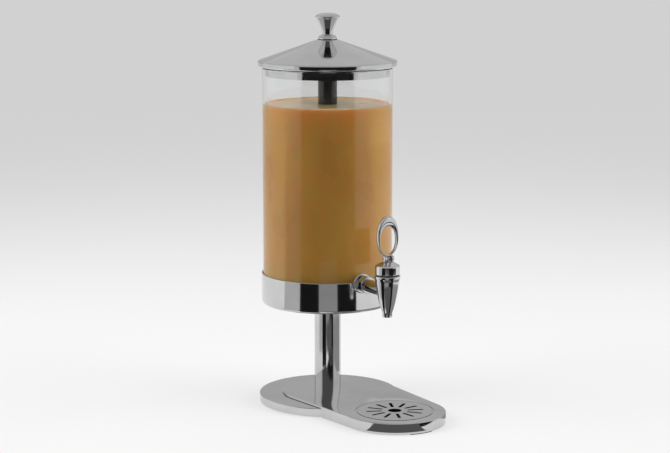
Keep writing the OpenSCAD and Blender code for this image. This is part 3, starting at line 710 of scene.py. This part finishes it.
@dataclass
class Tap:
    """Tap body with its shank and nut, bonnet and oval lever."""

    spout_radius: float = 6.0 * MM
    spout_height: float = 5.0 * MM
    spout_edge: float = 0.6 * MM
    bore: float = 4.2 * MM
    chamber: float = 9.0 * MM
    seat_down: float = 7.0 * MM
    band: float = 3.0 * MM
    band_step: float = 0.8 * MM
    band_start: float = 14.5 * MM
    band_round: float = 1.5 * MM
    swell: float = 5.5 * MM
    swell_down: float = 10.0 * MM
    bevel: float = 0.9 * MM
    tail: float = 6.0 * MM
    tail_edge: float = 0.5 * MM
    shank: float = 7.8 * MM
    shank_edge: float = 0.6 * MM
    shank_reach: float = 2.0 * MM
    flange_edge: float = 1.3 * MM
    washer_edge: float = 0.5 * MM
    hex_cone: float = 30.0
    hex_face: float = 0.98
    hex_end: float = 0.12
    hex_steps: int = 240
    bonnet_cone: float = 4.0 * MM
    bonnet_top: float = 7.0 * MM
    bonnet_shoulder: float = 2.2 * MM
    bonnet_edge: float = 0.8 * MM
    stem: float = 2.6 * MM
    cam: float = 3.6 * MM
    cam_forward: float = 1.8 * MM
    cheek_edges: Pair = (0.5 * MM, 0.9 * MM)
    eye_gap: float = 2.7 * MM
    ring_root: float = 2.0 * MM
    ring_side: float = 3.2 * MM
    ring_top: float = 12.5 * MM
    ring_depth: float = 5.4 * MM
    eye_slot: float = 6.6 * MM
    oval_power: float = 2.15
    section_power: float = 2.5
    ring_steps: int = 160
    section_steps: int = 32
    head_share: float = 1.5
    head_gap: float = 0.05 * MM
    head_height: float = 0.6 * MM
    head_edge: float = 0.4 * MM
    spring_wire: float = 0.9 * MM
    spring_turns: int = 5
    spring_chords: int = 24
    spring_sides: int = 10
    valve_rise: float = 1.26 * MM

    def build(self, materials: Materials) -> None:
        """Make every part of the tap that shows, and the spring that its valve shortens, kept here at one
        length.
        """
        body = joined(self.body_shell(), self.shank_shell())
        add_piece("tap_shell", body, materials, "reservoir", "chrome_plate", "tap_body")
        add_piece("bonnet_cap", self.bonnet(), materials, "reservoir", "chrome_plate", "tap_bonnet")
        flange = self.ring("wall_flange", self.flange_edge)
        add_piece("flange_disc", flange, materials, "reservoir", "chrome_plate", "wall_flange")
        washer = self.ring("collar_washer", self.washer_edge)
        add_piece("washer_disc", washer, materials, "reservoir", "chrome_plate", "collar_washer")
        nut = self.hex_nut()
        add_piece("hex_collar", nut, materials, "reservoir", "chrome_plate", "collar_nut", crease=20.0)
        add_piece("oval_lever", self.lever(), materials, "lever", "chrome_plate", "tap_lever")
        add_piece("rivet_pin", self.pin(), materials, "valve", "plain_steel", "lever_pin")
        coil = self.spring()
        spring = add_piece("coil_spring", coil, materials, "reservoir", "plain_steel", "valve_spring")
        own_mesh(spring)

    def axis(self) -> Pair:
        """Place of the tap's upright axis, from the bonnet's box."""
        return tuple(middle("tap_bonnet").xy)

    def shank_height(self) -> float:
        """Height of the shank's axis, from the flange's box."""
        return middle("wall_flange").z

    def ring(self, node: str, edge: float) -> Mesh:
        """Turned ring along Y in the place of a node, with rounded outer edges."""
        low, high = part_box(node)
        profile = tube_profile(high.x, self.tail, low.y, high.y, edge)
        return turned(profile, Axis.Y, (0.0, 0.0, middle(node).z), closed=True)

    def body_shell(self) -> Mesh:
        """Turned body: a straight spout, a bowed taper, and a band with bevelled edges."""
        low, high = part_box("tap_body")
        x, y = self.axis()
        level = self.shank_height()
        radius = y - low.y
        seat = level - self.seat_down
        taper = bowed(
            (self.spout_radius, low.z + self.spout_height),
            (self.spout_radius + self.swell, level - self.swell_down),
            (radius - self.band_step, level + self.band_start),
            steps=32,
        )
        spout = rounded((self.bore, low.z), (self.spout_radius, low.z, self.spout_edge), taper[0])
        top = rounded(
            taper[-1],
            (radius, high.z - self.band, self.band_round),
            (radius, high.z, self.bevel),
            (self.chamber, high.z),
            (self.chamber, seat),
            (self.bore, seat),
        )
        return turned(np.concatenate([spout[:-1], taper, top[1:]]), centre=(x, y, 0.0), closed=True)

    def shank_shell(self) -> Mesh:
        """Turned shank along Y: the thread's tail, a step, and the shank up to the valve chamber."""
        tail_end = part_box("tap_body")[1].y
        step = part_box("collar_washer")[0].y
        end = self.axis()[1] + self.chamber + self.shank_reach
        profile = rounded(
            (self.bore, tail_end),
            (self.tail, tail_end, self.tail_edge),
            (self.tail, step),
            (self.shank, step, self.shank_edge),
            (self.shank, end),
            (self.bore, end),
            closed=True,
        )
        return turned(profile, Axis.Y, (0.0, 0.0, self.shank_height()), closed=True)

    def bonnet(self) -> Mesh:
        """Turned bonnet: straight wall, then a cone up to its flat top, with rounded edges."""
        low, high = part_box("tap_bonnet")
        x, y = self.axis()
        radius = high.x - x
        shoulder = high.z - self.bonnet_cone
        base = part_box("bonnet_seal")[1].z
        profile = rounded(
            (self.stem, low.z),
            (self.chamber, low.z),
            (self.chamber, base),
            (radius, base, self.bevel),
            (radius, shoulder - self.bevel / 2, self.bonnet_shoulder),
            (self.bonnet_top, high.z, self.bonnet_edge),
            (self.stem, high.z),
            closed=True,
        )
        return turned(profile, centre=(x, y, 0.0), closed=True)

    def hex_nut(self) -> Mesh:
        """Hexagon of radius half width / cos(angle from a flat's middle), cut by a cone at each end."""
        low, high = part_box("collar_nut")
        half, length = (high.x - low.x) / 2, high.y - low.y
        angle = full_turn(self.hex_steps)[None, :]
        hexagon = half / np.cos(np.mod(angle - TURN / 4, TURN / 6) - TURN / 12)
        first, last = np.linspace(0.0, self.hex_end, 7), np.linspace(1.0 - self.hex_end, 1.0, 7)
        along = np.concatenate([[0.0], first, last, [1.0]])[:, None]
        from_end = np.minimum(along, 1.0 - along) * length
        cone = self.hex_face * half + from_end / math.tan(math.radians(self.hex_cone))
        radius = np.minimum(hexagon, cone)
        radius[[0, -1]] = self.tail
        height = self.shank_height() + radius * np.sin(angle)
        return grid_mesh(radius * np.cos(angle), low.y + along * length, height, wrap_rows=True)

    def lever(self) -> Mesh:
        """Oval ring and cam foot.

        The ring is a tube between an outer and an inner superellipse; round the tube the point is
        middle + half thickness * cos v across and half depth * sin v to the front. The foot is two
        turned cheeks beside the stem's eye.

        Returns:
            Points and faces.
        """
        low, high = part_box("tap_lever")
        pin_z, (x, y) = middle("lever_pin").z, self.axis()
        foot, top = pin_z + self.eye_gap, high.z
        outer = ((high.x - low.x) / 2, (foot + top) / 2, (top - foot) / 2)
        hole_low, hole_top = foot + self.ring_root, top - self.ring_top
        inner = (outer[0] - self.ring_side, (hole_low + hole_top) / 2, (hole_top - hole_low) / 2)
        u, v = full_turn(self.ring_steps)[:, None], full_turn(self.section_steps)[None, :]

        def swell(value: Array, power: float) -> Array:
            """Coordinate of a superellipse: sign times size to the power 2 / power."""
            return np.sign(value) * np.abs(value) ** (2.0 / power)

        across, up = swell(np.cos(u), self.oval_power), swell(np.sin(u), self.oval_power)
        out_x, out_z = outer[0] * across, outer[1] + outer[2] * up
        in_x, in_z = inner[0] * across, inner[1] + inner[2] * up
        wide, deep = swell(np.cos(v), self.section_power), swell(np.sin(v), self.section_power)
        ring = grid_mesh(
            x + (out_x + in_x) / 2 + (out_x - in_x) / 2 * wide,
            y + self.ring_depth / 2 * deep,
            (out_z + in_z) / 2 + (out_z - in_z) / 2 * wide,
            wrap_rows=True,
        )
        cheek = rod_profile(self.cam, self.eye_slot / 2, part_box("lever_pin")[1].x, *self.cheek_edges)
        foot_axis = (0.0, y - self.cam_forward, pin_z)
        sides = (cheek, cheek * [1.0, -1.0])
        return joined(ring, *(turned(side, Axis.X, foot_axis, steps=64) for side in sides))

    def pin(self) -> Mesh:
        """Turned pin along X with a low rounded head outside each cheek."""
        low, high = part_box("lever_pin")
        radius, end = (high.z - low.z) / 2, high.x
        head, seat, wide = end + self.head_height, end + self.head_gap, self.head_share * radius
        half = [(radius, seat, 0.0), (wide, seat, 0.0), (wide, head, self.head_edge), (0.0, head, 0.0)]
        mirrored = [(r, -h, e) for r, h, e in reversed(half)]
        profile = rounded(*mirrored, *half)
        return turned(profile, Axis.X, (0.0, *middle("lever_pin").yz), steps=48)

    def spring(self) -> Mesh:
        """Closing spring: a wire of section (r + w cos b, w sin b) that climbs evenly as it turns."""
        (low, high), (x, y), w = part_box("valve_spring"), self.axis(), self.spring_wire / 2
        chords, last = self.spring_chords * self.spring_turns, TURN * self.spring_turns
        turn, around = np.linspace(0.0, last, chords + 1)[:, None], full_turn(self.spring_sides)[None, :]
        r = (high.x - low.x) / 2 - w + w * np.cos(around)
        z = low.z + w + (high.z - low.z - 2 * w) * turn / last + w * np.sin(around)
        points, faces = grid_mesh(x + r * np.cos(turn), y + r * np.sin(turn), z)
        numbers = list(range(len(points)))
        return points, [*faces, numbers[: self.spring_sides], numbers[-self.spring_sides :]]


@dataclass
class Lid:
    """Polished cone with its rim, turned knob, and the cooling tube that hangs from it."""

    rim_round: float = 1.8 * MM
    rim_height: float = 7.75 * MM
    curl: float = 2.4 * MM
    curl_in: float = 2.8 * MM
    curl_edge: float = 0.3 * MM
    bead: float = 0.5 * MM
    bead_round: float = 0.6 * MM
    cone_top: float = 13.0 * MM
    cone_edge: float = 0.8 * MM
    sheet: float = 1.2 * MM
    knob_neck: float = 6.4 * MM
    knob_foot: float = 11.4 * MM
    knob_edge: float = 0.3 * MM
    tube_end: float = 2.5 * MM
    cap_edges: Pair = (0.4 * MM, 0.8 * MM)

    def build(self, materials: Materials) -> None:
        """Make the cone, the knob, the tube and its cap."""
        cone, knob = turned(self.shell(), steps=256), turned(self.knob(), steps=128)
        add_piece("lid_cone", cone, materials, "lid", "polished_steel", "lid_shell")
        add_piece("lid_knob", knob, materials, "lid", "polished_steel", "knob")
        (low, high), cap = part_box("cooling_tube"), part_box("tube_cap")[1]
        tube = turned(rod_profile(high.x, low.z, high.z, self.tube_end, 0.0))
        add_piece("chill_tube", tube, materials, "lid", "smoke_plastic", "cooling_tube", "cooling_gel")
        plug = turned(rod_profile(cap.x, high.z, cap.z, *self.cap_edges))
        add_piece("chill_cap", plug, materials, "lid", "smoke_plastic", "tube_cap")

    def shell(self) -> Array:
        """Profile of the lid: a straight cone, a bead along the rim, and a rim that curls in underneath."""
        low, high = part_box("lid_shell")
        radius, inner = high.x, high.x - self.sheet
        rim_top = low.z + self.rim_height
        step = radius - 2.0 * self.bead
        return rounded(
            (0.0, high.z),
            (self.cone_top, high.z, self.cone_edge),
            (step - self.rim_round, rim_top + 0.3 * self.bead, self.bead_round),
            (radius, rim_top - 0.6 * self.rim_round, self.rim_round),
            (radius, low.z, self.curl),
            (radius - self.curl_in, low.z, self.curl_edge),
            (radius - self.curl_in, low.z + self.sheet, self.curl_edge),
            (inner, low.z + self.sheet, self.curl - self.sheet),
            (inner, rim_top - self.sheet - self.rim_round),
            (self.cone_top, high.z - self.sheet),
            (0.0, high.z - self.sheet),
        )

    def knob(self) -> Array:
        """Profile of the knob: a foot, a drawn-in neck, a long flare and a low crown, all bowed."""
        low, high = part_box("knob")
        tall, wide = high.z - low.z, high.x

        def at(radius: float, share: float) -> Pair:
            """Point at a radius and a share of the knob's height."""
            return radius, low.z + share * tall

        foot = bowed(at(self.knob_foot, 0.03), at(0.93 * self.knob_foot, 0.15), at(self.knob_neck, 0.18))
        flare = bowed(at(self.knob_neck, 0.22), at(1.36 * self.knob_neck, 0.55), at(0.985 * wide, 0.835), 32)
        edge = bowed(at(0.985 * wide, 0.835), at(1.012 * wide, 0.86), at(0.965 * wide, 0.885), 10)
        crown = bowed(at(0.965 * wide, 0.885), at(0.8 * wide, 1.0), at(0.0, 1.0), 28)
        base = rounded((0.0, low.z), (self.knob_foot, low.z, self.knob_edge), foot[0])
        return np.concatenate([base[:-1], foot, flare, edge[1:], crown[1:]])


@dataclass
class DripTray:
    """Tray plate with its skirt: a rounded profile carried round the outline of two lobes."""

    lobe_radius: float = 68.0 * MM
    lobe_centre: Pair = (-7.0 * MM, -37.0 * MM)
    sheet: float = 1.2 * MM
    plate: float = 2.0 * MM
    edge: float = 1.0 * MM
    skirt_clear: float = 123.0 * MM
    recess_gap: float = 1.8 * MM
    recess_lip: float = 0.4 * MM
    pillar_fit: float = 0.05 * MM
    bowl_wall: float = 1.0 * MM
    arc_points: tuple[int, int] = (181, 161)
    side_points: int = 121
    hole_steps: int = 128

    def outline(self, inset: float) -> Array:
        """Outline of the tray: a rear arc and one about the grid, joined by their common tangents.

        Args:
            inset: Distance inside the outer edge.

        Returns:
            Outline points, the same number for every inset.
        """
        front, rear = np.array(middle("drip_grid").xy), np.array(self.lobe_centre)
        front_radius = front[1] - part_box("tray_plate")[0].y
        way = front - rear
        heading = math.atan2(way[1], way[0])
        lean = math.acos((self.lobe_radius - front_radius) / float(np.linalg.norm(way)))
        a = np.linspace(heading + lean, heading + TURN - lean, self.arc_points[0])[:, None]
        b = np.linspace(heading - lean, heading + lean, self.arc_points[1])[:, None]
        rear_arc = rear + (self.lobe_radius - inset) * np.hstack([np.cos(a), np.sin(a)])
        front_arc = front + (front_radius - inset) * np.hstack([np.cos(b), np.sin(b)])
        share = np.linspace(*UNIT, self.side_points)[1:-1, None]
        first = rear_arc[-1] + share * (front_arc[0] - rear_arc[-1])
        second = front_arc[-1] + share * (rear_arc[0] - front_arc[-1])
        return np.concatenate([rear_arc, first, front_arc, second])

    def build(self, materials: Materials) -> None:
        """Make the plate: skirt and rounded edge round the outline, flat faces, and edges of the holes."""
        low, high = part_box("tray_plate")
        grid_low, grid_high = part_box("drip_grid")
        bowl_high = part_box("drip_bowl")[1]
        centre = tuple(middle("drip_grid").xy)
        recess = (grid_high.x - grid_low.x) / 2 + self.recess_gap
        top, under = high.z, high.z - self.plate
        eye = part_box("pillar")[1].x + self.pillar_fit
        drain = bowl_high.x - centre[0] - self.bowl_wall
        rim, inner = self.outline(0.0), self.outline(self.sheet)
        skirt_low = np.where(np.hypot(rim[:, 0], rim[:, 1]) > self.skirt_clear, low.z, under)
        reach = 2.0 * self.edge
        bend = rounded((0.0, top - reach), (0.0, top, self.edge), (reach, top), steps=8)
        level = np.ones(len(rim))
        loops = [(inner, under * level), (inner, skirt_low), (rim, skirt_low)]
        loops += [(self.outline(inset), z * level) for inset, z in bend[1:]]
        rows = np.array([np.column_stack(loop) for loop in loops])
        side = grid_mesh(*np.moveaxis(rows, 2, 0))
        eye_loop = circle(eye, (0.0, 0.0), self.hole_steps)
        mouth = recess + self.recess_lip
        face = flat_face(rows[-1][:, :2], [eye_loop, circle(mouth, centre, self.hole_steps)], top)
        back = flat_face(inner, [eye_loop, circle(drain, centre, self.hole_steps)], under)
        well = rounded(
            (mouth, top),
            (recess, top, self.recess_lip),
            (recess, grid_low.z),
            (drain, grid_low.z),
            (drain, under),
        )
        hole = turned(well, centre=(*centre, 0.0), steps=self.hole_steps)
        bore = turned(np.array([(eye, top), (eye, under)]), steps=self.hole_steps)
        pan = joined(side, face, back, hole, bore)
        add_piece("tray_pan", pan, materials, "tray", "polished_steel", "tray_plate")


# Stage


def face_along(thing: bpy.types.Object, at: Triple | Vector, way: Vector) -> None:
    """Put a lamp or camera at a point, looking along a direction."""
    thing.location = at
    thing.rotation_mode = "QUATERNION"
    thing.rotation_quaternion = way.to_track_quat("-Z", "Y")
    bpy.context.scene.collection.objects.link(thing)


def add_stage(name: str, mesh: Mesh, recipe: Recipe) -> bpy.types.Object:
    """Make a mesh into a piece of the stage, with a recipe's material."""
    data = bpy.data.meshes.new(name)
    data.from_pydata(mesh[0].tolist(), [], mesh[1])
    data.materials.append(recipe.material)
    piece = bpy.data.objects.new(name, data)
    bpy.context.scene.collection.objects.link(piece)
    return piece


@dataclass
class Studio:
    """Pale floor, soft lamps, sheets for the metal to mirror, and a camera at the photograph's angle."""

    camera_at: Triple = (-1.1507, -2.0114, 0.5996)
    camera_turn: float = 30.0
    camera_dip: float = 9.51
    camera_reach: float = 200.0
    lens: float = 101.83
    sensor: float = 36.0
    floor_size: float = 60.0
    floor_tone: float = 0.2
    floor_mottle: float = 0.97
    floor_scale: float = 3.0
    floor_rough: float = 0.9
    floor_glow: float = 0.6
    backdrop: float = 0.93
    fill: float = 0.19
    mirror_sky: float = 0.49
    lamp_spread: float = 120.0
    lamp_aim: float = 0.3
    sheet_near: float = 0.24
    sheet_far: float = 2.6
    sheet_points: int = 25
    dark: float = 0.012
    dusk: float = 0.12
    grey: float = 0.33
    pale: float = 0.58
    light: float = 0.61
    white: float = 0.82

    def build(self) -> None:
        """Make the floor, the sky, the lamps, the sheets and the camera."""
        self.floor()
        self.sky()
        self.lamp("side_lamp_left", -84.0, (1.6, 1.05), (1.8, 2.0), 31.0)
        self.lamp("side_lamp_right", 86.0, (1.6, 1.05), (1.8, 2.0), 28.0)
        self.lamp("top_lamp", 180.0, (0.35, 1.9), (1.2, 1.2), 7.0)
        self.sheets()
        self.camera()
        bpy.context.scene.view_settings.view_transform = "Standard"

    def sheets(self) -> None:
        """Make what the metal mirrors: dark sheets before the object, pale ones beside and above it."""
        near, far = self.sheet_near, self.sheet_far
        self.sheet("flag_left", (-46.0, -14.0), self.level(near, far), self.dark)
        self.sheet("flag_right", (16.0, 48.0), self.level(near, far), self.dark)
        self.sheet("flag_middle", (-14.0, 16.0), self.level(near, 1.05), self.grey)
        self.sheet("flag_beyond", (-14.0, 16.0), self.level(1.05, far), self.dark)
        self.sheet("flag_wall", (-46.0, 48.0), self.upright(0.0, 0.5), self.dark)
        self.sheet("flag_upper", (-46.0, 48.0), self.upright(0.5, 1.8), self.dusk, bounces=2)
        self.sheet("flag_near", (-44.0, -12.0), self.level(0.155, near), self.dark)
        tray, over_tray = (0.0, -160.0 * MM), self.level(60.6 * MM, 0.3, 3.0 * MM)
        self.sheet("flag_tray", (-36.0, 36.0), over_tray, self.dusk, centre=tray)
        self.sheet("card_left", (-130.0, -55.0), self.upright(0.0, 1.6), self.white)
        self.sheet("card_right", (55.0, 130.0), self.upright(0.0, 1.6), self.white)
        self.sheet("card_over", (100.0, 260.0), ((far, 1.3), (0.4, 3.2)), self.light)
        self.sheet("flag_lever", (48.0, 78.0), self.level(1.0, 1.36), self.dark)
        self.sheet("flag_side", (-76.0, -46.0), self.level(near, far), self.pale)
        self.sheet("flag_edge", (48.0, 120.0), self.level(0.12, 0.5), self.grey)

    def bearing(self, offset: float | Array) -> float | Array:
        """Angle of the way from the object to the camera, turned by an offset in degrees."""
        return np.radians(FRONT - self.camera_turn + offset)

    def level(self, start: float, end: float, lift: float = 2.0 * MM) -> tuple[Pair, Pair]:
        """Edges of a sheet that lies just above the floor, between two radii."""
        return (start, lift), (end, lift)

    def upright(self, low: float, high: float) -> tuple[Pair, Pair]:
        """Edges of a sheet that stands far from the object, between two heights."""
        return (self.sheet_far, low), (self.sheet_far, high)

    def floor(self) -> None:
        """Make the floor: one large level square with a faint mottle."""
        corners = np.array([(-1, -1, 0), (1, -1, 0), (1, 1, 0), (-1, 1, 0)]) * self.floor_size / 2
        recipe = Recipe("pale_floor")
        tone, mottle = (self.floor_tone,) * 3, (self.floor_mottle * self.floor_tone,) * 3
        recipe.set(Base_Color=recipe.blend(recipe.noise(self.floor_scale, 3.0), tone, mottle))
        recipe.set(Roughness=self.floor_rough, Specular_IOR_Level=0.0, Emission_Color=WHITE)
        seen = recipe.rays("Camera", "Transmission", "Glossy")
        recipe.set(Emission_Strength=recipe.span(seen, UNIT, (0.0, self.floor_glow)))
        add_stage("floor", (corners, [[0, 1, 2, 3]]), recipe)

    def sky(self) -> None:
        """Set the sky: pale where it is seen, and dimmer in reflections and as a light."""
        world = bpy.data.worlds.new("studio_sky")
        world.use_nodes = True
        graph = Graph(world.node_tree)
        mirrored = graph.add("Mix", Factor=graph.rays("Glossy"), A=self.fill, B=self.mirror_sky)
        seen = graph.rays("Camera", "Transmission")
        shown = graph.add("Mix", Factor=seen, A=mirrored.outputs["Result"], B=self.backdrop)
        wire(graph.tree.nodes["Background"], Color=WHITE, Strength=shown.outputs["Result"])
        bpy.context.scene.world = world

    def lamp(self, name: str, offset: float, spot: Pair, size: Pair, power: float) -> None:
        """Add a soft rectangular lamp that faces the pillar's axis.

        Args:
            name: Name of the lamp.
            offset: Angle from the camera's direction, in degrees.
            spot: Distance from the pillar's axis, and height.
            size: Width and height.
            power: Watts.
        """
        data = bpy.data.lights.new(name, "AREA")
        data.shape, data.energy = "RECTANGLE", power
        data.size, data.size_y = size
        data.spread = math.radians(self.lamp_spread)
        lamp = bpy.data.objects.new(name, data)
        lamp.visible_glossy = lamp.visible_transmission = False
        angle, (far, height) = self.bearing(offset), spot
        at = Vector((far * math.cos(angle), far * math.sin(angle), height))
        face_along(lamp, at, Vector((0.0, 0.0, self.lamp_aim)) - at)

    def sheet(
        self,
        name: str,
        angles: Pair,
        edges: tuple[Pair, Pair],
        tone: float,
        centre: Pair = (0.0, 0.0),
        bounces: int = 1,
    ) -> None:
        """Add a plain sheet that only reflections see: (r cos a, r sin a, z) between two edges.

        Args:
            name: Name of the sheet.
            angles: First and last angle from the camera's direction, in degrees.
            edges: (radius, height) of the sheet's two curved edges.
            tone: Brightness of the sheet.
            centre: Point on the floor that the angles turn about.
            bounces: Mirrors that a ray has to meet before it sees the sheet.
        """
        a = self.bearing(np.linspace(*angles, self.sheet_points))[None, :]
        r, z = np.array(edges)[:, :1], np.array(edges)[:, 1:]
        x, y = centre[0] + r * np.cos(a), centre[1] + r * np.sin(a)
        recipe = Recipe(name)
        recipe.set(Base_Color=BLACK, Roughness=1.0, Specular_IOR_Level=0.0)
        recipe.set(Emission_Color=WHITE, Emission_Strength=tone)
        mirrors = recipe.add("LightPath").outputs["Glossy Depth"]
        recipe.set(Alpha=recipe.span(mirrors, (bounces - 1.0, bounces)))
        piece = add_stage(name, grid_mesh(x, y, z, wrap_columns=False), recipe)
        piece.visible_camera = piece.visible_diffuse = piece.visible_shadow = False

    def camera(self) -> None:
        """Place the camera with the photograph's lens."""
        data = bpy.data.cameras.new("camera")
        data.lens, data.sensor_width, data.clip_end = self.lens, self.sensor, self.camera_reach
        camera = bpy.data.objects.new("camera", data)
        dip, turn = math.radians(self.camera_dip), math.radians(self.camera_turn)
        way = Vector((math.sin(turn) * math.cos(dip), math.cos(turn) * math.cos(dip), -math.sin(dip)))
        face_along(camera, self.camera_at, way)
        bpy.context.scene.camera = camera


def dress_nodes(materials: Materials) -> None:
    """Give every node that still shows the finish of its slot in the record."""
    for part in frame["record"]["subparts"]:
        node, slot = frame["nodes"][part["node"]], part["material_slot"]
        if not node.hide_render:
            node.data.materials.clear()
            node.data.materials.append(materials[slot])
            LOG.info("%s: %s", part["node"], slot)


def main() -> None:
    """Build the stage and every sub-assembly in order."""
    logging.basicConfig(level=logging.INFO)
    Studio().build()
    materials = {slot: finish.material(slot) for slot, finish in SLOT_FINISH.items()}
    for assembly in (Stand(), Cup(), Reservoir(), Tap(), Lid(), DripTray()):
        assembly.build(materials)
    dress_nodes(materials)


if __name__ == "__main__":
    main()
